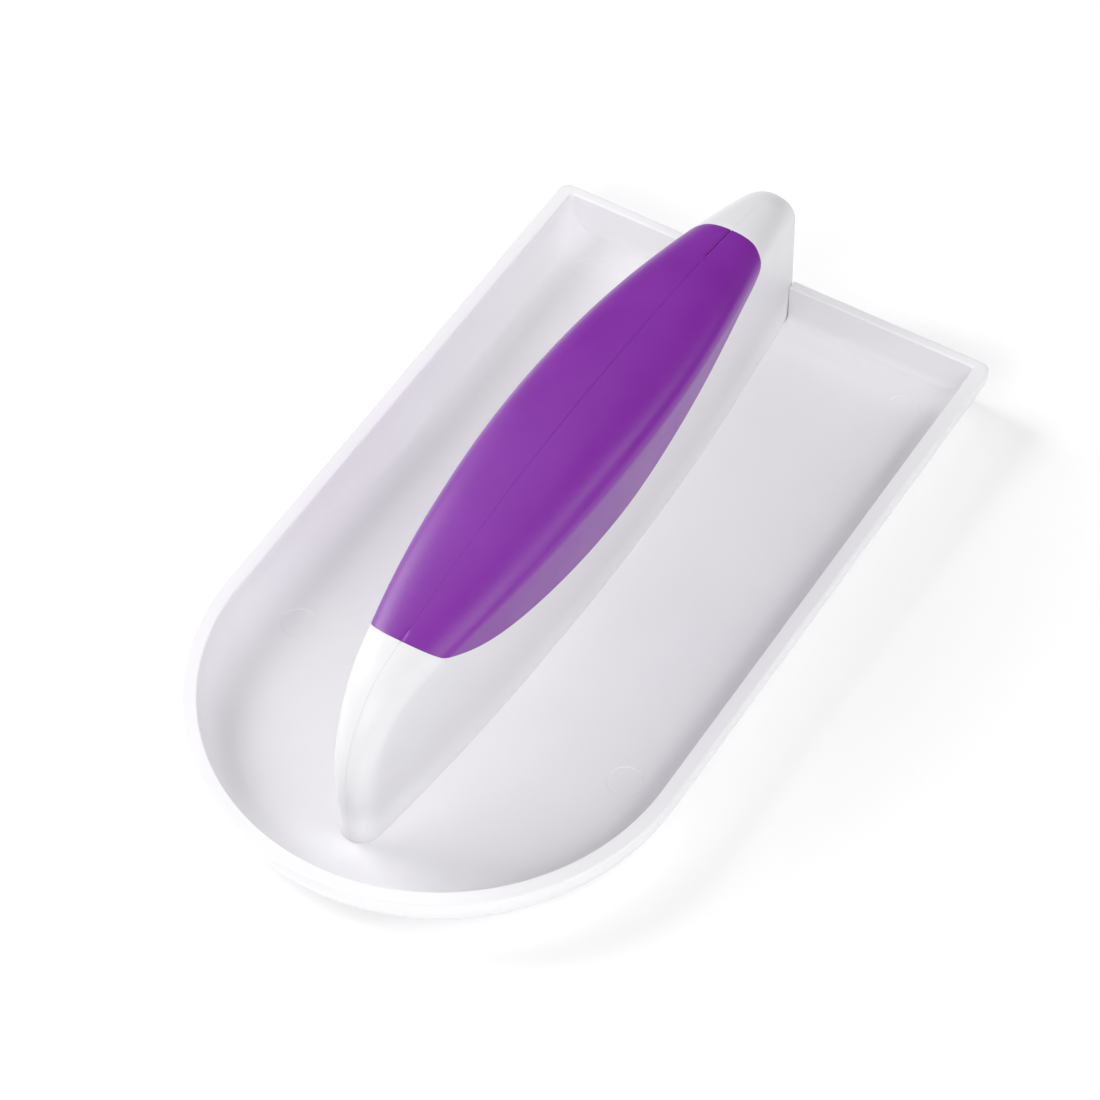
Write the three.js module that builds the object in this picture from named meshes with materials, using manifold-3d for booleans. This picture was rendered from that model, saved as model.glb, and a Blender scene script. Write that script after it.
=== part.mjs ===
// Cake-icing smoother: a shallow D-shaped tray with a flat working face underneath,
// and an upright blade handle of two half shells that carries a soft grip in two halves.
// Millimetres, +Z up, +Y towards the square end, origin under the middle of the base.
import * as THREE from 'three';
import { mergeVertices } from 'three/addons/utils/BufferGeometryUtils.js';
import Module from 'manifold-3d';

const wasm = await Module();
wasm.setup();

const GAP = 0.3; // clearance kept between touching pieces
const SEAM = GAP / 2; // each half stands this far off the middle plane

// Base tray
const LENGTH = 147.1;
const WIDTH = 85;
const RIM_HEIGHT = 9.3;
const RIM_WIDTH = 2.7; // top of the rim at the sides and the nose
const REAR_WALL = 1.9; // thickness of the upright wall at the square end
const FLOOR = 1.5;
const OUTER_ROUND = 8.4; // quarter round from the flat underside up to the rim
const INNER_ROUND = 6;
const CORNER_ROUND = 1.8;
const ROUND_STEPS = 6;
const NOSE_STEPS = 44;
const SLOT_HALF = 4.4; // half width of the slot in the rear wall that the handle fills

// Locating tongue on the tray floor, held between the two shells
const TONGUE_HALF = 1.5;
const TONGUE_HEIGHT = 7;
const TONGUE_ENDS = [-50, 62];
const PEG_RADIUS = 1.8;
const PEG_HOLE_RADIUS = 2.2;
const SOCKET_RADIUS = 3.8;
const FOOT_PEG_Z = FLOOR + 3.8;
const FOOT_PEGS = [-42, 6, 54];
const UPPER_PEG_Z = 15;
const UPPER_PEGS = [-30, 6, 42];

// Handle
const SHELL_WALL = 1.9;
const FOOT_Z = FLOOR + GAP;
const REAR_Y = LENGTH / 2;
const NOSE_Y = -43.4; // where the curved nose leg meets the top of the handle
const NOSE_Z = 12.8; // where the nose leg starts to curve back
const NOSE_REACH = 16.5; // the leg's front is a quarter ellipse of this length and height
const NOSE_RISE = 20.3;
const SHOULDER_DROP = 3; // the sides are widest this far below the crown
const CROWN_POWER = 2.2; // roundness of the crown, where 2 is an ellipse

// Grip
const GRIP_FRONT = -42.5;
const GRIP_REAR = 58.2;
const GRIP_SKIN = 2.1;

const WHITE = { color: '#e9e7ec', roughness: 0.38, metalness: 0 };
const PURPLE = { color: '#8e38ae', roughness: 0.55, metalness: 0 };

// ---- curves along the handle, through [y, value] knots ----

function curve(...knots) {
  const line = new THREE.SplineCurve(knots.map(([y, value]) => new THREE.Vector2(y, value)));
  const points = line.getPoints(120);
  return (y) => {
    const next = points.findIndex((p) => p.x >= y);
    if (next < 1) return (next === 0 ? points[0] : points.at(-1)).y;
    const [a, b] = [points[next - 1], points[next]];
    return THREE.MathUtils.mapLinear(y, a.x, b.x, a.y, b.y);
  };
}

const crownZ = curve(
  [NOSE_Y, NOSE_Z + NOSE_RISE], [-22.5, 36.2], [4, 37.8], [32, 36.7], [49, 35.1],
  [58.2, 33.7], [66, 32], [70.8, 30.5], [72.6, 29.4], [73.3, 28.5], [REAR_Y, 27.8],
);
const shoulderHalf = curve(
  [-60, 3.8], [-56, 4.1], [NOSE_Y, 6.4], [-24, 9.8], [9, 12.25], [36, 10.5], [54, 7.7],
  [60, 6.65], [66, 5.5], [REAR_Y, 3.9],
);
const footHalf = curve([-60, 3.2], [-50, 4.3], [-32, 6.1], [4, 7.55], [34, 7], [58, 5.2], [REAR_Y, 3.75]);
const crownDepth = curve(
  [-60, 3.8], [NOSE_Y, 2.8], [-34, 2.9], [4, 4.8], [20, 4.6], [36, 4.2],
  [62, 4], [REAR_Y, 4.2],
);
const gripEdgeZ = curve(
  [-38.5, 29.8], [-27, 24.2], [-12, 20.9], [1, 19.9], [14, 21.2], [32, 25.8], [42, 28.5], [52, 29.8],
);

// ---- solids ----

function toSolid(geometry) {
  const bare = geometry.clone();
  bare.deleteAttribute('normal');
  bare.deleteAttribute('uv');
  const merged = mergeVertices(bare, 1e-4);
  return new wasm.Manifold(new wasm.Mesh({
    numProp: 3,
    vertProperties: new Float32Array(merged.attributes.position.array),
    triVerts: new Uint32Array(merged.index.array),
  }));
}

function toGeometry(solid) {
  const mesh = solid.getMesh();
  const geometry = new THREE.BufferGeometry();
  geometry.setAttribute('position', new THREE.BufferAttribute(new Float32Array(mesh.vertProperties), 3));
  geometry.setIndex(new THREE.BufferAttribute(new Uint32Array(mesh.triVerts), 1));
  geometry.computeVertexNormals();
  return geometry;
}

function mirrored(solid) {
  return solid.mirror([1, 0, 0]);
}

// Triangles of a flat closed ring, wound the way the ring runs.
function capFaces(ring) {
  const normal = new THREE.Vector3();
  ring.forEach((p, i) => normal.add(p.clone().cross(ring[(i + 1) % ring.length])));
  const turn = new THREE.Quaternion().setFromUnitVectors(normal.normalize(), new THREE.Vector3(0, 0, 1));
  const flat = ring.map((p) => p.clone().applyQuaternion(turn)).map((p) => new THREE.Vector2(p.x, p.y));
  return THREE.ShapeUtils.triangulateShape(flat, []);
}

// Skin through a row of matching closed rings, with a flat cap on each end.
function loft(rings) {
  const count = rings[0].length;
  const last = (rings.length - 1) * count;
  const faces = [];
  for (let row = 0; row + 1 < rings.length; row++) {
    for (let i = 0; i < count; i++) {
      const a = row * count + i;
      const b = row * count + ((i + 1) % count);
      faces.push([a, b, b + count], [a, b + count, a + count]);
    }
  }
  capFaces(rings[0]).forEach(([a, b, c]) => faces.push([c, b, a]));
  capFaces(rings.at(-1)).forEach(([a, b, c]) => faces.push([a + last, b + last, c + last]));
  const points = rings.flat();
  const volume = faces.reduce((sum, [a, b, c]) => (
    sum + points[a].dot(points[b].clone().cross(points[c]))
  ), 0);
  const outward = volume > 0 ? faces : faces.map(([a, b, c]) => [c, b, a]);
  const geometry = new THREE.BufferGeometry().setFromPoints(points);
  geometry.setIndex(outward.flat());
  return toSolid(geometry);
}

function box([x0, x1], [y0, y1], [z0, z1]) {
  const geometry = new THREE.BoxGeometry(x1 - x0, y1 - y0, z1 - z0);
  geometry.translate((x0 + x1) / 2, (y0 + y1) / 2, (z0 + z1) / 2);
  return toSolid(geometry);
}

// Round bar along X.
function bar([x0, x1], y, z, radius) {
  const geometry = new THREE.CylinderGeometry(radius, radius, x1 - x0, 20);
  geometry.rotateZ(Math.PI / 2);
  geometry.translate((x0 + x1) / 2, y, z);
  return toSolid(geometry);
}

// Slab between two x planes with a side outline of [y, z] points.
function slab([x0, x1], outline) {
  const shape = new THREE.Shape(outline.map(([y, z]) => new THREE.Vector2(y, z)));
  const geometry = new THREE.ExtrudeGeometry(shape, { depth: x1 - x0, bevelEnabled: false });
  geometry.applyMatrix4(new THREE.Matrix4().set(0, 0, 1, x0, 1, 0, 0, 0, 0, 1, 0, 0, 0, 0, 0, 1));
  return toSolid(geometry);
}

function steps(from, to, count) {
  return Array.from({ length: count + 1 }, (_, i) => from + ((to - from) * i) / count);
}

// ---- base tray ----

function arc(cx, cy, radius, from, to, count) {
  return steps(from, to, count).map((degrees) => {
    const angle = THREE.MathUtils.degToRad(degrees);
    return [cx + radius * Math.cos(angle), cy + radius * Math.sin(angle)];
  });
}

// Level outline of the tray: straight sides, half-round nose, square end with small corners.
function trayRing(inset, rearY, corner, z) {
  const half = WIDTH / 2 - inset;
  return [
    ...arc(half - corner, rearY - corner, corner, 90, 0, 3),
    ...arc(0, (WIDTH - LENGTH) / 2, half, 0, -180, NOSE_STEPS),
    ...arc(corner - half, rearY - corner, corner, 180, 90, 3),
  ].map(([x, y]) => new THREE.Vector3(x, y, z));
}

// Levels of a quarter round that starts flat at the bottom, as [inset, z].
function roundLevels(inset, bottom, radius) {
  return steps(0, 90, ROUND_STEPS).map((degrees) => {
    const angle = THREE.MathUtils.degToRad(degrees);
    return [inset + radius * (1 - Math.sin(angle)), bottom + radius * (1 - Math.cos(angle))];
  });
}

function baseTray() {
  const outside = [...roundLevels(0, 0, OUTER_ROUND), [0, RIM_HEIGHT]];
  const inside = [...roundLevels(RIM_WIDTH, FLOOR, INNER_ROUND), [RIM_WIDTH, RIM_HEIGHT + 1]];
  const body = loft(outside.map(([inset, z]) => trayRing(inset, REAR_Y, CORNER_ROUND, z)));
  const hollow = loft(inside.map(([inset, z]) => trayRing(inset, REAR_Y - REAR_WALL, 0.6, z)));
  const slot = box([-SLOT_HALF, SLOT_HALF], [REAR_Y - REAR_WALL - 1, REAR_Y + 1], [FLOOR, RIM_HEIGHT + 1]);
  let tongue = box([-TONGUE_HALF, TONGUE_HALF], TONGUE_ENDS, [FLOOR - 0.5, FLOOR + TONGUE_HEIGHT]);
  for (const y of FOOT_PEGS) {
    tongue = tongue.subtract(bar([-5, 5], y, FOOT_PEG_Z, PEG_HOLE_RADIUS));
  }
  return body.subtract(hollow).subtract(slot).add(tongue);
}

// ---- handle ----

// Height of the handle's outline at y, taken in by inset.
function outlineZ(y, inset) {
  if (y >= NOSE_Y) return crownZ(y) - inset;
  const across = Math.min(1, (NOSE_Y - y) / (NOSE_REACH - inset));
  return NOSE_Z + (NOSE_RISE - inset) * Math.sqrt(1 - across ** 2);
}

// How far a point of the side view lies inside that outline.
function outlineDepth(y, z, inset) {
  if (y >= NOSE_Y) return outlineZ(y, inset) - z;
  if (z <= NOSE_Z) return y - NOSE_Y + NOSE_REACH - inset;
  const arm = Math.hypot(y - NOSE_Y, z - NOSE_Z);
  const share = Math.hypot((y - NOSE_Y) / (NOSE_REACH - inset), (z - NOSE_Z) / (NOSE_RISE - inset));
  return arm * (1 / share - 1);
}

// Half width of the handle: sides that lean out from the foot, rounded over at the crown.
function halfWidth(y, z, inset) {
  const shoulderZ = crownZ(y) - SHOULDER_DROP;
  const rise = THREE.MathUtils.clamp((z - FLOOR) / (shoulderZ - FLOOR), 0, 1);
  const side = THREE.MathUtils.lerp(footHalf(y), shoulderHalf(y), rise) - inset;
  const round = Math.max(0, 1 - outlineDepth(y, z, inset) / Math.max(1, crownDepth(y) - inset / 2));
  return side * (1 - Math.min(1, round) ** CROWN_POWER) ** (1 / CROWN_POWER);
}

// Half section of the handle at y, from its crown down to the level bottom.
function handleRing(y, inset, innerX, bottom) {
  const top = outlineZ(y, inset);
  const outer = steps(0, 1, 14).map((t, i) => {
    const z = top - (top - bottom) * t ** 2;
    return new THREE.Vector3(Math.max(halfWidth(y, z, inset), innerX + 0.01 * i), y, z);
  });
  outer[0].x = innerX;
  return [...outer, new THREE.Vector3(innerX, y, bottom)];
}

// One side of the handle's body between two y limits, taken in by inset.
function handleBody([from, to], inset, innerX = SEAM, bottom = FOOT_Z) {
  const nose = steps(4, 82, 9).map((degrees) => (
    NOSE_Y - (NOSE_REACH - inset) * Math.cos(THREE.MathUtils.degToRad(degrees))
  ));
  const all = [...nose, ...steps(NOSE_Y, GRIP_REAR, 20), 61, 64, 67, 69.5, 71.3, 72.3, 73, 73.35];
  const rows = [from, ...all.filter((y) => y > from + 0.1 && y < to - 0.1), to];
  return loft(rows.map((y) => handleRing(y, inset, innerX, bottom)));
}

// Side outline of the grip, grown by margin.
function gripOutline(margin) {
  const lower = steps(-38.5, 52, 22).map((y) => [y, gripEdgeZ(y) - margin]);
  return [
    [GRIP_FRONT - 0.6 - margin, 45],
    [GRIP_FRONT - 0.1 - margin, crownZ(NOSE_Y) + 0.4],
    [-41.4 - margin, 32 - margin / 2],
    ...lower,
    [54.6 + margin * 0.5, 30.6 - margin * 0.8],
    [56 + margin * 0.7, 31.5 - margin * 0.7],
    [57.7 + margin, 33 - margin * 0.3],
    [GRIP_REAR + margin, crownZ(GRIP_REAR)],
    [GRIP_REAR + margin, 45],
  ];
}

function handleHalf() {
  const front = NOSE_Y - NOSE_REACH + 0.03;
  const body = handleBody([front, REAR_Y], 0);
  const core = handleBody([GRIP_FRONT - 1.5, GRIP_REAR + 1.5], GRIP_SKIN + GAP);
  const recess = slab([-1, 20], gripOutline(GAP));
  const solid = body.subtract(recess).add(core);

  const thin = handleBody([front + SHELL_WALL, REAR_Y - SHELL_WALL], SHELL_WALL, -1, 0);
  const deep = handleBody([-38, 54], GRIP_SKIN + GAP + SHELL_WALL, -1, 0);
  const hollow = thin.subtract(slab([-2, 20], gripOutline(GAP + SHELL_WALL))).add(deep);
  return solid.subtract(hollow);
}

function addPegs(shell) {
  const pegs = [
    ...FOOT_PEGS.map((y) => ({ y, z: FOOT_PEG_Z, tip: TONGUE_HALF + 0.4 })),
    ...UPPER_PEGS.map((y) => ({ y, z: UPPER_PEG_Z, tip: 2.4 })),
  ];
  return pegs.reduce((result, { y, z, tip }) => (
    result.add(bar([1 - halfWidth(y, z, 0), tip], y, z, PEG_RADIUS))
  ), shell);
}

function addSockets(shell) {
  return UPPER_PEGS.reduce((result, y) => (
    result
      .add(bar([SEAM, halfWidth(y, UPPER_PEG_Z, 0) - 1], y, UPPER_PEG_Z, SOCKET_RADIUS))
      .subtract(bar([-1, 3], y, UPPER_PEG_Z, PEG_HOLE_RADIUS))
  ), shell);
}

// ---- grip ----

function gripHalf() {
  const skin = handleBody([GRIP_FRONT - 1, GRIP_REAR + 1], 0);
  const hole = handleBody([GRIP_FRONT - 2, GRIP_REAR + 2], GRIP_SKIN, -1);
  return skin.subtract(hole).intersect(slab([-1, 20], gripOutline(0)));
}

// ---- assembly ----

const group = new THREE.Group();

function addPiece(name, solid, finish) {
  const mesh = new THREE.Mesh(toGeometry(solid), new THREE.MeshStandardMaterial(finish));
  mesh.name = name;
  group.add(mesh);
}

const shell = handleHalf();
const grip = gripHalf();
addPiece('base_tray', baseTray(), WHITE);
addPiece('handle_shell_left', addPegs(mirrored(shell)), WHITE);
addPiece('handle_shell_right', addSockets(shell), WHITE);
addPiece('grip_left', mirrored(grip), PURPLE);
addPiece('grip_right', grip, PURPLE);

export default group;
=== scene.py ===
"""Looks for the cake-icing smoother: white moulded tray, white two-part handle, purple two-part grip.

Lengths in the shape code are millimetres in the part's own frame; solid() turns them into metres.
"""
import math

import bmesh
import bpy
import numpy as np
from mathutils import Matrix, Vector


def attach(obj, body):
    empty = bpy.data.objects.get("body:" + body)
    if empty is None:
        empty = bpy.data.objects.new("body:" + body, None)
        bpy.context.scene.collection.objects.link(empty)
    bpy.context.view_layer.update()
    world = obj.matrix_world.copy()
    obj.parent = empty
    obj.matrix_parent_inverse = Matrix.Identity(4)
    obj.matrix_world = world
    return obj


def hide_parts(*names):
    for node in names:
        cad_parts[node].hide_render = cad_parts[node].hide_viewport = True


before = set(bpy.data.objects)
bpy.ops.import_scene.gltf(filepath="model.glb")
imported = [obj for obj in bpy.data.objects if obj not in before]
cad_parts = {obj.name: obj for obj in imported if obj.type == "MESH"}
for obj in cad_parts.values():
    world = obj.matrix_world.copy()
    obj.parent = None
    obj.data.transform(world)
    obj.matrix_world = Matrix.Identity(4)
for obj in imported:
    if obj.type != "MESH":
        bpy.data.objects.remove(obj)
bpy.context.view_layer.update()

MM = 0.001

# Base tray
WIDTH = 85.0
REAR_Y = 73.55
NOSE_CENTRE_Y = -31.05
RIM_HEIGHT = 9.3
RIM_WIDTH = 2.7
REAR_WALL = 1.9
FLOOR = 1.5
OUTER_ROUND = 8.4
INNER_ROUND = 6.0
WALL_FOOT_ROUND = 1.5
CORNER_ROUND = 1.8
INNER_CORNER = 0.6
EDGE = 0.35
SLOT_HALF = 4.1
WALL_STEPS = 8
CORNER_STEPS = 8
NOSE_STEPS = 120
ROUND_STEPS = 16
EDGE_STEPS = 4

# Ejector marks: places, and (radius, height above the tray floor) down each mark's side
MARK_PLACES = [(x, y) for y in (-27.8, 63.7) for x in (-31.2, 31.2)]
MARK_PROFILE = ((3.0, 0.3), (3.0, -0.03), (2.86, -0.13))
MARK_STEPS = 64

# Handle
FOOT_Z = FLOOR + 0.06
NOSE_Y = -43.4
NOSE_Z = 12.8
NOSE_REACH = 16.5
NOSE_RISE = 20.3
NOSE_BLEND = 7.0
SHOULDER_DROP = 3.0
CROWN_POWER = 2.2
REAR_EDGE = 0.5
REAR_DROP = 2.4
REAR_ROUND = 5.05
ARCH_FOOT_Z = 23.2
FRONT_FOOT_Y = -38.5
REAR_FOOT_Y = 57.5
SHELL_BEVEL = 0.08
SHELL_SEAM_ZONE = 0.2

# Grip
GRIP_FRONT = -42.5
GRIP_REAR = 58.2
FRONT_LOW = (-41.1, 31.8)
REAR_LOW = (56.0, 31.5)
GRIP_DEPTH = 1.25
GRIP_THICKNESS = GRIP_DEPTH - 0.08
GRIP_FIT = 0.04
GRIP_BEVEL = 0.10
GRIP_SEAM_ZONE = 0.4

# Seams on the middle plane: half gap, width of the lip beside it, how far down the first grid step the
# lip's outer edge lies, how deep its inner edge is sunk, the burr, and where the grid is finer for them
SEAM_GAP = 0.012
SHELL_LIP = 0.16
GRIP_LIP = 0.15
LIP_STEP = 0.15
NOSE_SINK = 0.02
REAR_SINK = 0.005
BURR_Y = 48.9
BURR_HEIGHT = 0.13
BURR_HALF = 0.45
SEAM_DETAIL_Y = (-41.9, -41.0, -40.4, BURR_Y, 49.3, 49.7, 50.1)

# Grid steps over the handle's side
UPPER = 24
NOSE_COLUMNS = 30
LEG_ROWS = 8
GRIP_COLUMNS = 110
REAR_COLUMNS = 26

BEVEL_ABOVE = math.radians(50)
SHARP_ABOVE = math.radians(60)

# In metres: vertices closer than this are joined, and edges shorter than this are dissolved.
WELD = 2e-6
SLIVER = 1e-6


# ---- curves ----


def spline(*knots):
    """Smooth curve through (y, value) knots, level past its ends."""
    xs, values = (np.array(column, float) for column in zip(*knots))
    count = len(xs)
    h = np.diff(xs)
    slope = np.diff(values) / h
    system = np.eye(count)
    bends = np.zeros(count)
    for i in range(1, count - 1):
        system[i, i - 1 : i + 2] = h[i - 1], 2 * (h[i - 1] + h[i]), h[i]
        bends[i] = 6 * (slope[i] - slope[i - 1])
    bends = np.linalg.solve(system, bends)

    def value(y):
        y = np.clip(y, xs[0], xs[-1])
        i = np.clip(np.searchsorted(xs, y) - 1, 0, count - 2)
        a, b = xs[i + 1] - y, y - xs[i]
        return (
            (bends[i] * a**3 + bends[i + 1] * b**3) / (6 * h[i])
            + (values[i] / h[i] - bends[i] * h[i] / 6) * a
            + (values[i + 1] / h[i] - bends[i + 1] * h[i] / 6) * b
        )

    return value


def shares_along(points):
    """How far along a line of (y, z) points each one lies, from 0 to 1."""
    along = np.concatenate([[0], np.cumsum(np.hypot(*np.diff(points, axis=0).T))])
    return along / along[-1]


def curve_2d(points):
    """Smooth curve through (y, z) points, as a function of 0 to 1 along it."""
    points = np.array(points, float)
    along = shares_along(points)
    ys, zs = (spline(*zip(along, points[:, k])) for k in (0, 1))
    return lambda t: np.stack([ys(t), zs(t)], -1)


def bump(y, centre, half_width):
    """1 at the centre, falling smoothly to 0 on both sides."""
    return np.exp(-(((y - centre) / half_width) ** 2))


def fade(y, start, end):
    """0 before start, 1 after end, smooth between."""
    t = np.clip((y - start) / (end - start), 0, 1)
    return t * t * (3 - 2 * t)


top_line = spline(
    (NOSE_Y, 33.1), (-31.3, 35.1), (-13.7, 37.05), (4.2, 37.8), (22.6, 37.25), (41.5, 35.95),
    (58.2, 33.7), (66, 32.05), (REAR_Y, 30.2),
)
shoulder_half = spline(
    (-60, 3.6), (-52, 4.8), (NOSE_Y, 6.4), (-30, 8.85), (-12, 11.2), (9, 12.25), (27, 11.5),
    (42, 9.7), (54, 7.7), (60, 6.65), (66, 5.5), (REAR_Y, 3.9),
)
foot_half = spline(
    (-60, 3.2), (-50, 4.3), (-38, 5.6), (-20, 6.8), (4, 7.55), (28, 7.3), (46, 6.25), (60, 5.0),
    (REAR_Y, 3.75),
)
crown_depth = spline(
    (-60, 3.8), (-50, 3.1), (NOSE_Y, 2.8), (-34, 2.95), (-18, 4.0), (4, 4.8), (20, 4.6), (36, 4.2),
    (52, 4.0), (62, 4.0), (REAR_Y, 4.2),
)
NOSE_SLOPE = float((top_line(NOSE_Y + 0.5) - top_line(NOSE_Y)) / 0.5)


def crown(y):
    """Height of the handle's top behind the nose, with its rounded rear corner."""
    s = np.clip((y - (REAR_Y - REAR_ROUND)) / REAR_ROUND, 0, 1)
    return top_line(y) - REAR_DROP * (1 - np.sqrt(1 - s**2))


def nose_tilt(y):
    """Eases the nose's ellipse into the slope of the top."""
    q = np.clip((NOSE_Y - y) / NOSE_BLEND, 0, 1)
    return NOSE_SLOPE * (y - NOSE_Y) * (1 - q) ** 3


def depth_inside(y, z):
    """How far (y, z) lies inside the handle's side outline."""
    z_nose = z - nose_tilt(y)
    arm = np.hypot(y - NOSE_Y, z_nose - NOSE_Z)
    share = np.hypot((y - NOSE_Y) / NOSE_REACH, (z_nose - NOSE_Z) / NOSE_RISE)
    ring = arm * (1 / np.maximum(share, 1e-6) - 1)
    nose = np.where(z_nose <= NOSE_Z, y - NOSE_Y + NOSE_REACH, ring)
    return np.where(y >= NOSE_Y, crown(y) - z, nose)


def half_width(y, z):
    """Distance from the middle plane to the handle's side: a straight flank under a rounded crown."""
    rise = (z - FLOOR) / (crown(np.maximum(y, NOSE_Y)) - SHOULDER_DROP - FLOOR)
    side = foot_half(y) + (shoulder_half(y) - foot_half(y)) * rise
    round_off = np.clip(1 - depth_inside(y, z) / crown_depth(y), 0, 1)
    rear = np.clip((y - (REAR_Y - REAR_EDGE)) / REAR_EDGE, 0, 1)
    width = side * (1 - round_off**CROWN_POWER) ** (1 / CROWN_POWER)
    return width - np.minimum(width, REAR_EDGE) * (1 - np.sqrt(1 - rear**2))


# ---- grids over the handle's side ----


def coons(top, bottom, left, right, across, down):
    """Grid of (y, z) between four edges; rows run from top to bottom, columns from left to right."""
    u, v = across[None, :, None], down[:, None, None]
    flat = (1 - v) * top[None] + v * bottom[None]
    upright = (1 - u) * left[:, None] + u * right[:, None]
    corners = (1 - v) * ((1 - u) * top[0] + u * top[-1]) + v * ((1 - u) * bottom[0] + u * bottom[-1])
    return flat + upright - corners


def on_handle(grid):
    """Puts a (y, z) grid on the handle's right side."""
    y, z = grid[..., 0], grid[..., 1]
    return np.stack([half_width(y, z), y, z], -1)


def normals_of(points):
    """Unit normals of a grid on the right side, all facing outward."""
    n = np.cross(np.gradient(points, axis=1), np.gradient(points, axis=0))
    n /= np.maximum(np.linalg.norm(n, axis=-1, keepdims=True), 1e-12)
    return n * np.where(n[..., :1] < -1e-9, -1, 1)


inward = np.linspace(0, 1, UPPER + 1) ** CROWN_POWER


def grip_edges(fit):
    """Front, lower and rear edges of the grip in side view, moved in by fit."""
    low = curve_2d([
        FRONT_LOW, (-38.2, 29.8), (-34.8, 27.7), (-27.2, 24.4), (-19, 22.3), (-9, 20.7), (1, 20.0),
        (10, 20.4), (20, 22.6), (32, 25.8), (42, 28.5), (48.5, 29.5), (52.2, 29.8), (54.6, 30.6),
        REAR_LOW,
    ])
    front = curve_2d([(GRIP_FRONT, crown(GRIP_FRONT)), (-42.05, 32.75), FRONT_LOW])
    rear = curve_2d([(GRIP_REAR, crown(GRIP_REAR)), (57.9, 33.1), (57.1, 32.5), REAR_LOW])
    detail = (np.array(SEAM_DETAIL_Y) - GRIP_FRONT) / (GRIP_REAR - GRIP_FRONT)
    columns = np.sort(np.concatenate([np.linspace(0, 1, GRIP_COLUMNS + 1), detail]))
    y = GRIP_FRONT + fit + (GRIP_REAR - GRIP_FRONT - 2 * fit) * columns
    top = np.stack([y, crown(y)], -1)
    bottom = low(columns) + [0, fit]
    left = front(inward) + [fit, 0]
    right = rear(inward) - [fit, 0]
    bottom[0], bottom[-1] = left[-1], right[-1]
    left[0], right[0] = top[0], top[-1]
    return columns, top, bottom, left, right


def line(a, b, weights):
    """Points from a to b at the given shares of the way."""
    return np.array(a) + (np.array(b) - np.array(a)) * weights[:, None]


def nose_outline():
    """Side outline from the grip's front end, over the nose and down the leg to the tray floor."""
    angles = np.radians(np.linspace(90, 0, NOSE_COLUMNS))
    arc_y = NOSE_Y - NOSE_REACH * np.cos(angles)
    arc_z = NOSE_Z + NOSE_RISE * np.sin(angles) + nose_tilt(arc_y)
    leg_z = np.linspace(NOSE_Z, FOOT_Z, LEG_ROWS + 1)[1:]
    leg = np.stack([np.full(LEG_ROWS, NOSE_Y - NOSE_REACH), leg_z], -1)
    return np.concatenate([[(GRIP_FRONT, crown(GRIP_FRONT))], np.stack([arc_y, arc_z], -1), leg])


def handle_grids():
    """Side-view grids of the grip, the nose, the side below the grip, and the two behind the grip."""
    columns, top, bottom, left, right = grip_edges(0)
    grip = coons(top, bottom, left, right, columns, inward)
    foot_places = (FRONT_FOOT_Y, REAR_FOOT_Y, REAR_Y)
    front_foot, rear_foot, end_foot = (np.array([y, FOOT_Z]) for y in foot_places)

    # The columns of the nose and the rows of the side share their spacing, so that they meet.
    outline = nose_outline()
    downward = shares_along(outline)
    front_line = line(left[-1], front_foot, downward)
    rear_line = line(right[-1], rear_foot, downward)
    nose = coons(outline, front_line, left, line(outline[-1], front_foot, inward), downward, inward)
    side = coons(bottom, line(front_foot, rear_foot, columns), front_line, rear_line, columns, downward)

    turn = np.sin(np.linspace(0, math.pi / 2, REAR_COLUMNS + 1))
    y = GRIP_REAR + (REAR_Y - GRIP_REAR) * turn
    arch_foot = np.array([REAR_Y, ARCH_FOOT_Z])
    shoulder = line(right[-1], arch_foot, turn)
    arch = line([REAR_Y, crown(REAR_Y)], arch_foot, inward)
    behind = coons(np.stack([y, crown(y)], -1), shoulder, right, arch, turn, inward)
    end_line = line(arch_foot, end_foot, downward)
    behind_low = coons(shoulder, line(rear_foot, end_foot, turn), rear_line, end_line, turn, downward)
    return grip, nose, side, behind, behind_low


class Skin:
    """Vertices and faces of one closed piece; points that agree to four decimals are one vertex."""

    def __init__(self):
        self.points, self.faces, self.found = [], [], {}

    def vertex(self, p):
        key = tuple(np.round(p, 4))
        if key not in self.found:
            self.found[key] = len(self.points)
            self.points.append(tuple(float(c) for c in p))
        return self.found[key]

    def face(self, *points):
        ring = []
        for p in points:
            i = self.vertex(p)
            if i not in ring:
                ring.append(i)
        if len(ring) > 2:
            self.faces.append(ring)

    def grid(self, points):
        rows, columns = points.shape[:2]
        for r in range(rows - 1):
            for c in range(columns - 1):
                self.face(points[r, c], points[r + 1, c], points[r + 1, c + 1], points[r, c + 1])


def open_seam(points, gap, sink, lip):
    """Starts a grid at the middle plane: a row at the gap, lowered by sink, then the lip's outer edge."""
    gap, sink = (np.broadcast_to(value, points.shape[1]) for value in (gap, sink))
    first_step = points[1] - points[0]
    first_step[:, 0] = 0
    down = points[-1] - points[0]
    down[:, 0] = 0
    down /= np.maximum(np.linalg.norm(down, axis=-1, keepdims=True), 1e-9)
    sunk = points[0] + down * sink[:, None]
    sunk[:, 0] = gap
    raised = points[0] + first_step * LIP_STEP
    raised[:, 0] = gap + lip
    rest = points[1:].copy()
    rest[..., 0] = np.maximum(rest[..., 0], (gap + 2 * lip)[None])
    return np.concatenate([sunk[None], raised[None], rest])


def beside_seam(edge):
    """Repeats an edge's first point, so that it has as many points as one that open_seam has added to."""
    return np.concatenate([edge[:1], edge])


def shade(mesh):
    """Smooth shading, with a sharp edge where faces meet at a steep angle."""
    for polygon in mesh.polygons:
        polygon.use_smooth = True
    mesh.set_sharp_from_angle(angle=SHARP_ABOVE)


def weigh_normals(piece):
    piece.modifiers.new("weighted_normals", "WEIGHTED_NORMAL").keep_sharp = True


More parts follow.
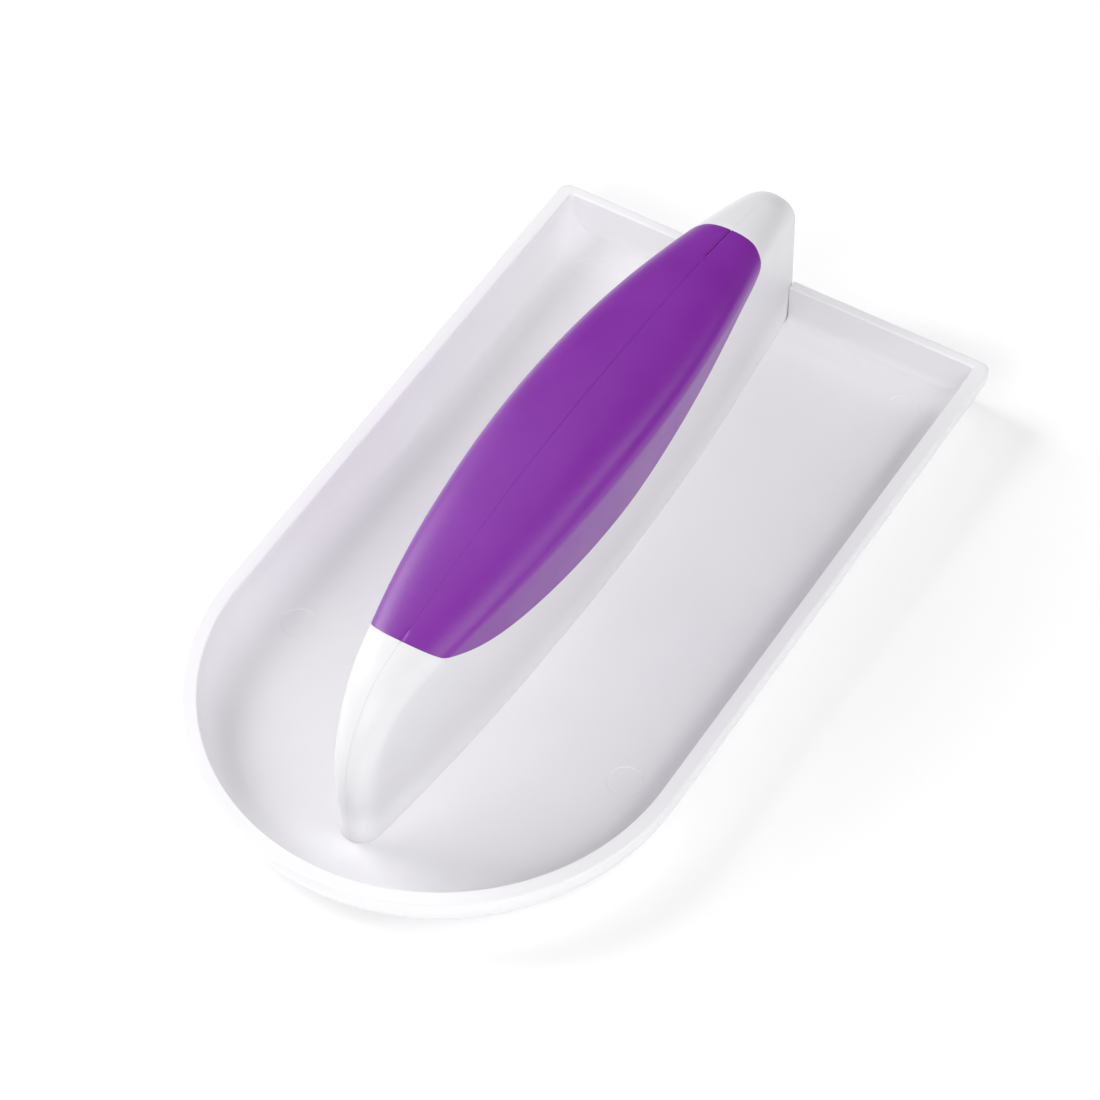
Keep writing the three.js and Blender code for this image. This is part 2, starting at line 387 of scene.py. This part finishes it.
def solid(name, skin, mirror=False, bevel=0.0, seam_zone=0.0):
    """Turns a skin into a piece in metres, its edges bevelled beyond seam_zone from the middle plane."""
    flip = -1 if mirror else 1
    mesh = bpy.data.meshes.new(name)
    mesh.from_pydata([(flip * x * MM, y * MM, z * MM) for x, y, z in skin.points], [], skin.faces)
    piece = bpy.data.objects.new(name, mesh)
    bpy.context.collection.objects.link(piece)
    bm = bmesh.new()
    bm.from_mesh(mesh)
    bmesh.ops.remove_doubles(bm, verts=bm.verts, dist=WELD)
    bmesh.ops.dissolve_degenerate(bm, edges=bm.edges, dist=SLIVER)
    bmesh.ops.recalc_face_normals(bm, faces=bm.faces)
    if bevel:
        sharp = [
            e for e in bm.edges
            if len(e.link_faces) == 2 and e.calc_face_angle(0) > BEVEL_ABOVE
            and not all(abs(v.co.x) < seam_zone * MM for v in e.verts)
        ]
        bmesh.ops.bevel(
            bm, geom=sharp, offset=bevel * MM, segments=2, profile=0.6, affect="EDGES", clamp_overlap=True
        )
    bmesh.ops.recalc_face_normals(bm, faces=bm.faces)
    bm.to_mesh(mesh)
    bm.free()
    shade(mesh)
    weigh_normals(piece)
    return piece


# ---- handle shells ----


def inner_layer(outer, depth, gap):
    """The same grid, depth below the surface and outside the seam's gap."""
    inner = outer - normals_of(outer) * depth
    inner[0, :, 0] = 0
    inner[0, :, 2] = outer[0, :, 2] - depth
    inner[..., 0] = np.maximum(inner[..., 0], gap)
    return inner


def shell_skin():
    """Right half of the handle, with the recess that its half of the grip sits in."""
    grip, nose, low, behind, behind_low = (on_handle(g) for g in handle_grids())
    bed = inner_layer(grip, GRIP_DEPTH, SEAM_GAP)
    nose = open_seam(nose, SEAM_GAP, NOSE_SINK, SHELL_LIP)
    behind = open_seam(behind, SEAM_GAP, REAR_SINK, SHELL_LIP)
    skin = Skin()
    for points in (nose, low, behind, behind_low, bed):
        skin.grid(points)
    # Walls of the recess around the grip
    skin.grid(np.stack([nose[:, 0], beside_seam(bed[:, 0])]))
    skin.grid(np.stack([behind[:, 0], beside_seam(bed[:, -1])]))
    skin.grid(np.stack([low[0], bed[-1]]))
    # Flat faces: rear end, foot and middle plane
    end = np.concatenate([behind[:, -1], behind_low[1:, -1]])
    end_low = np.array([SEAM_GAP, REAR_Y, FOOT_Z])
    skin.face(*end, end_low)
    foot = np.concatenate([nose[:, -1], low[-1, 1:], behind_low[-1, 1:]])
    skin.face(*foot, end_low)
    middle = np.concatenate([nose[0][::-1], bed[0], behind[0]])
    skin.face(*middle, end_low)
    return skin


def grip_seam(y):
    """Half gap and sink of the grip's seam: finest in the middle, wide at both ends, raised at the burr."""
    rear = fade(y, 49.4, 50.2)
    gap = SEAM_GAP + 0.025 * rear + 0.03 * (1 - fade(y, -42.0, -39.5))
    sink = 0.015 + 0.035 * fade(y, -30, -5) + 0.10 * rear + 0.08 * (1 - fade(y, -41.8, -39.5))
    return gap, sink - BURR_HEIGHT * bump(y, BURR_Y, BURR_HALF)


def grip_skin():
    """Right half of the grip: its outer face, the layer that lies on the bed, and the rim between them."""
    columns, top, bottom, left, right = grip_edges(GRIP_FIT)
    outer = on_handle(coons(top, bottom, left, right, columns, inward))
    gap, sink = grip_seam(outer[0, :, 1])
    inner = inner_layer(outer, GRIP_THICKNESS, gap)
    outer = open_seam(outer, gap, sink, GRIP_LIP)
    skin = Skin()
    skin.grid(outer)
    skin.grid(inner)
    skin.grid(np.stack([outer[0], inner[0]]))
    skin.grid(np.stack([outer[-1], inner[-1]]))
    skin.grid(np.stack([outer[:, 0], beside_seam(inner[:, 0])]))
    skin.grid(np.stack([outer[:, -1], beside_seam(inner[:, -1])]))
    return skin


# ---- base tray ----


def tray_ring(inset, rear_y, corner, z):
    """Level outline of the tray, from one side of the handle's slot round to the other."""
    half = WIDTH / 2 - inset

    def arc(cx, cy, radius, start, end, count):
        angles = np.radians(np.linspace(start, end, count + 1))
        return [(cx + radius * math.cos(a), cy + radius * math.sin(a), z) for a in angles]

    wall = [(x, rear_y, z) for x in np.linspace(SLOT_HALF, half - corner, WALL_STEPS + 1)[:-1]]
    return np.array(
        wall
        + arc(half - corner, rear_y - corner, corner, 90, 0, CORNER_STEPS)
        + arc(0, NOSE_CENTRE_Y, half, 0, -180, NOSE_STEPS)
        + arc(corner - half, rear_y - corner, corner, 180, 90, CORNER_STEPS)
        + [(-x, y, z) for x, y, z in wall[::-1]]
    )


def foot_round(height, radius):
    """How far out a quarter circle at the foot of an upright face has come at this height."""
    below = radius - min(height, radius)
    return math.sqrt(radius**2 - below**2)


def tray_skin():
    """Rings from the underside, over the rim and down to the floor."""
    quarter = np.radians(np.linspace(0, 90, ROUND_STEPS + 1))
    small = np.radians(np.linspace(0, 90, EDGE_STEPS + 1))
    # Inset of the round sides, place of the rear wall, and height
    levels = []
    for a in quarter:
        z = OUTER_ROUND * (1 - math.cos(a))
        levels.append((OUTER_ROUND * (1 - math.sin(a)), REAR_Y - EDGE + foot_round(z, EDGE), z))
    insets, _, heights = zip(*levels)
    levels += [(np.interp(z, heights, insets), REAR_Y, z) for z in (EDGE, FLOOR)]
    levels.sort(key=lambda level: level[2])
    outside = [tray_ring(inset, rear, CORNER_ROUND, z) for inset, rear, z in levels]
    for a in small:
        inset, z = EDGE * (1 - math.cos(a)), RIM_HEIGHT - EDGE + EDGE * math.sin(a)
        outside.append(tray_ring(inset, REAR_Y - inset, CORNER_ROUND - inset, z))
    inside = []
    for a in small[::-1]:
        step = EDGE * math.cos(a)
        z = RIM_HEIGHT - EDGE + EDGE * math.sin(a)
        inside.append((RIM_WIDTH - EDGE + step, REAR_Y - REAR_WALL + EDGE - step, z))
    for a in quarter[::-1]:
        z = FLOOR + INNER_ROUND * (1 - math.cos(a))
        rear = REAR_Y - REAR_WALL - WALL_FOOT_ROUND + foot_round(z - FLOOR, WALL_FOOT_ROUND)
        inside.append((RIM_WIDTH + INNER_ROUND * (1 - math.sin(a)), rear, z))
    rings = outside + [tray_ring(inset, rear, INNER_CORNER, z) for inset, rear, z in inside]
    skin = Skin()
    for low, high in zip(rings, rings[1:]):
        skin.grid(np.stack([low, high]))
    # Across the slot the wall is whole only below the floor.
    below = [r for r in outside if r[0, 2] <= FLOOR + 1e-9]
    for low, high in zip(below, below[1:]):
        skin.face(low[-1], low[0], high[0], high[-1])
    sill, bed = below[-1], rings[-1]
    skin.face(sill[-1], sill[0], bed[0], bed[-1])
    around = [r for r in rings if r[0, 2] >= FLOOR - 1e-9]
    for side in (0, -1):
        skin.face(*[r[side] for r in around])
    skin.face(*rings[0])
    skin.face(*bed)
    return skin


def press_marks(tray):
    """Four shallow round ejector marks in the tray floor."""
    skin = Skin()
    turns = np.radians(np.linspace(0, 360, MARK_STEPS + 1))
    for cx, cy in MARK_PLACES:
        rings = [
            np.array([(cx + r * math.cos(a), cy + r * math.sin(a), FLOOR + rise) for a in turns])
            for r, rise in MARK_PROFILE
        ]
        for low, high in zip(rings, rings[1:]):
            skin.grid(np.stack([low, high]))
        skin.face(*rings[0][:-1])
        skin.face(*rings[-1][:-1])
    cutter = solid("mark_cutter", skin)
    cutter.modifiers.clear()
    cut = tray.modifiers.new("marks", "BOOLEAN")
    cut.operation = "DIFFERENCE"
    cut.solver = "EXACT"
    cut.object = cutter
    bpy.context.view_layer.update()
    done = bpy.data.meshes.new_from_object(tray.evaluated_get(bpy.context.evaluated_depsgraph_get()))
    tray.modifiers.clear()
    tray.data = done
    bpy.data.objects.remove(cutter)
    shade(done)
    # The two end faces of the slot meet everything else at a sharp edge.
    for edge in done.edges:
        if all(abs(abs(done.vertices[i].co.x) / MM - SLOT_HALF) < 0.001 for i in edge.vertices):
            edge.use_edge_sharp = True
    weigh_normals(tray)


# ---- materials ----

# Nearly all of a noise texture lies in this range.
NOISE_LOW, NOISE_HIGH = 0.3, 0.7


class Nodes:
    """Short ways to add and join shader nodes."""

    def __init__(self, name):
        self.material = bpy.data.materials.new(name)
        self.material.use_nodes = True
        self.tree = self.material.node_tree
        self.shader = next(n for n in self.tree.nodes if n.type == "BSDF_PRINCIPLED")
        self.where = self.add("ShaderNodeTexCoord").outputs["Object"]

    def add(self, kind, **inputs):
        node = self.tree.nodes.new(kind)
        for key, value in inputs.items():
            node.inputs[key].default_value = value
        return node

    def join(self, source, target):
        self.tree.links.new(source, target)

    def noise(self, scale, detail=3.0, roughness=0.5):
        node = self.add("ShaderNodeTexNoise", Scale=scale, Detail=detail, Roughness=roughness)
        self.join(self.where, node.inputs["Vector"])
        return node.outputs["Fac"]

    def spread(self, source, low, high):
        """Turns noise into values from low to high."""
        span = {"From Min": NOISE_LOW, "From Max": NOISE_HIGH, "To Min": low, "To Max": high}
        node = self.add("ShaderNodeMapRange", **span)
        self.join(source, node.inputs["Value"])
        return node.outputs["Result"]

    def tint(self, source, dark, light):
        """Turns noise into colours from dark to light."""
        node = self.add("ShaderNodeValToRGB")
        first, last = node.color_ramp.elements
        first.position, last.position = NOISE_LOW, NOISE_HIGH
        first.color, last.color = (*dark, 1), (*light, 1)
        self.join(source, node.inputs["Fac"])
        return node.outputs["Color"]

    def bumps(self, *layers):
        """Adds bump layers of (height, strength, distance) one on the other."""
        normal = None
        for height, strength, distance in layers:
            node = self.add("ShaderNodeBump", Strength=strength, Distance=distance)
            self.join(height, node.inputs["Height"])
            if normal:
                self.join(normal, node.inputs["Normal"])
            normal = node.outputs["Normal"]
        self.join(normal, self.shader.inputs["Normal"])


def white_plastic(name, dark, light):
    m = Nodes(name)
    s = m.shader.inputs
    s["IOR"].default_value = 1.49
    m.join(m.tint(m.noise(38, 4), dark, light), s["Base Color"])
    m.join(m.spread(m.noise(70, 5, 0.6), 0.29, 0.44), s["Roughness"])
    m.bumps((m.noise(55, 2), 0.12, 0.0004), (m.noise(1800, 2), 0.10, 0.00006))
    return m.material


def soft_purple():
    m = Nodes("purple_soft_grip")
    s = m.shader.inputs
    s["IOR"].default_value = 1.55
    s["Sheen Weight"].default_value = 0.2
    s["Sheen Roughness"].default_value = 0.35
    m.join(m.tint(m.noise(60, 4), (0.200, 0.014, 0.330), (0.222, 0.018, 0.365)), s["Base Color"])
    m.join(m.spread(m.noise(120, 5, 0.6), 0.34, 0.42), s["Roughness"])
    m.bumps((m.noise(90, 2), 0.10, 0.0003), (m.noise(2600, 3, 0.7), 0.25, 0.00008))
    return m.material


def stage_floor():
    m = Nodes("pale_floor")
    s = m.shader.inputs
    s["Roughness"].default_value = 0.9
    s["Specular IOR Level"].default_value = 0.1
    s["Emission Color"].default_value = (1, 1, 1, 1)
    s["Emission Strength"].default_value = 0.12
    m.join(m.tint(m.noise(3, 2), (0.90, 0.90, 0.90), (0.93, 0.93, 0.93)), s["Base Color"])
    return m.material


# ---- the object ----


def place(piece, node, material):
    """Gives a piece its material, hangs it under the root body and hides the CAD node that it replaces."""
    piece.data.materials.append(material)
    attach(piece, "root")
    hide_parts(node)


tray_white = white_plastic("white_tray_plastic", (0.872, 0.862, 0.886), (0.898, 0.889, 0.910))
handle_white = white_plastic("white_handle_plastic", (0.795, 0.787, 0.812), (0.825, 0.818, 0.840))
purple = soft_purple()

tray = solid("tray_body", tray_skin())
press_marks(tray)
place(tray, "base_tray", tray_white)

shell, grip = shell_skin(), grip_skin()
for side, mirror in (("left", True), ("right", False)):
    half = solid(f"shell_{side}", shell, mirror, SHELL_BEVEL, SHELL_SEAM_ZONE)
    place(half, f"handle_shell_{side}", handle_white)
    skin = solid(f"soft_grip_{side}", grip, mirror, GRIP_BEVEL, GRIP_SEAM_ZONE)
    place(skin, f"grip_{side}", purple)

# ---- stage, lights and camera ----

# The floor lies 0.2 mm under the part, so that the two don't share a plane.
bpy.ops.mesh.primitive_grid_add(x_subdivisions=8, y_subdivisions=8, size=6, location=(0, 0, -0.0002))
floor = bpy.context.object
floor.name = "floor"
floor.data.materials.append(stage_floor())


def direction(azimuth, elevation):
    """One metre out at these angles in radians; azimuth 0 is in front of the nose, 90 degrees is right."""
    level = math.cos(elevation)
    return Vector((math.sin(azimuth) * level, -math.cos(azimuth) * level, math.sin(elevation)))


# Round lights a metre out, facing the origin: azimuth and elevation in degrees, watts, size in metres
for name, azimuth, elevation, power, size in (
    ("left_key", -90, 30, 8.0, 0.7),
    ("front_fill", 0, 30, 3.8, 0.7),
    ("front_right_fill", 45, 30, 1.5, 0.7),
    ("right_fill", 90, 30, 2.1, 0.7),
    ("high_right_fill", 90, 60, 3.0, 0.7),
    ("back_fill", -135, 60, 1.0, 0.7),
    ("shoulder_accent", 137, 43, 0.7, 0.15),
):
    light = bpy.data.lights.new(name, "AREA")
    light.shape = "DISK"
    light.size = size
    light.energy = power
    lamp = bpy.data.objects.new(name, light)
    bpy.context.collection.objects.link(lamp)
    lamp.location = direction(math.radians(azimuth), math.radians(elevation))
    lamp.rotation_euler = (Vector() - lamp.location).to_track_quat("-Z", "Y").to_euler()

world = bpy.data.worlds.new("soft_studio")
bpy.context.scene.world = world
world.use_nodes = True
backdrop = next(n for n in world.node_tree.nodes if n.type == "BACKGROUND")
backdrop.inputs["Color"].default_value = (1, 1, 1, 1)
backdrop.inputs["Strength"].default_value = 0.02

# Camera: its turn about the part and its roll in degrees, lens in millimetres, place in metres
azimuth, elevation, roll = (math.radians(a) for a in (33.01, 50.75, -1.63))
back = direction(azimuth, elevation)
level = Vector((math.cos(azimuth), math.sin(azimuth), 0))
upward = back.cross(level)
right = level * math.cos(roll) + upward * math.sin(roll)
up = upward * math.cos(roll) - level * math.sin(roll)
lens = bpy.data.cameras.new("camera")
lens.sensor_width = 36
lens.lens = 140.07
camera = bpy.data.objects.new("camera", lens)
bpy.context.collection.objects.link(camera)
pose = Matrix((right, up, back)).transposed().to_4x4()
pose.translation = Vector((0.2405, -0.3700, 0.5509))
camera.matrix_world = pose
bpy.context.scene.camera = camera
bpy.context.scene.view_settings.view_transform = "Standard"
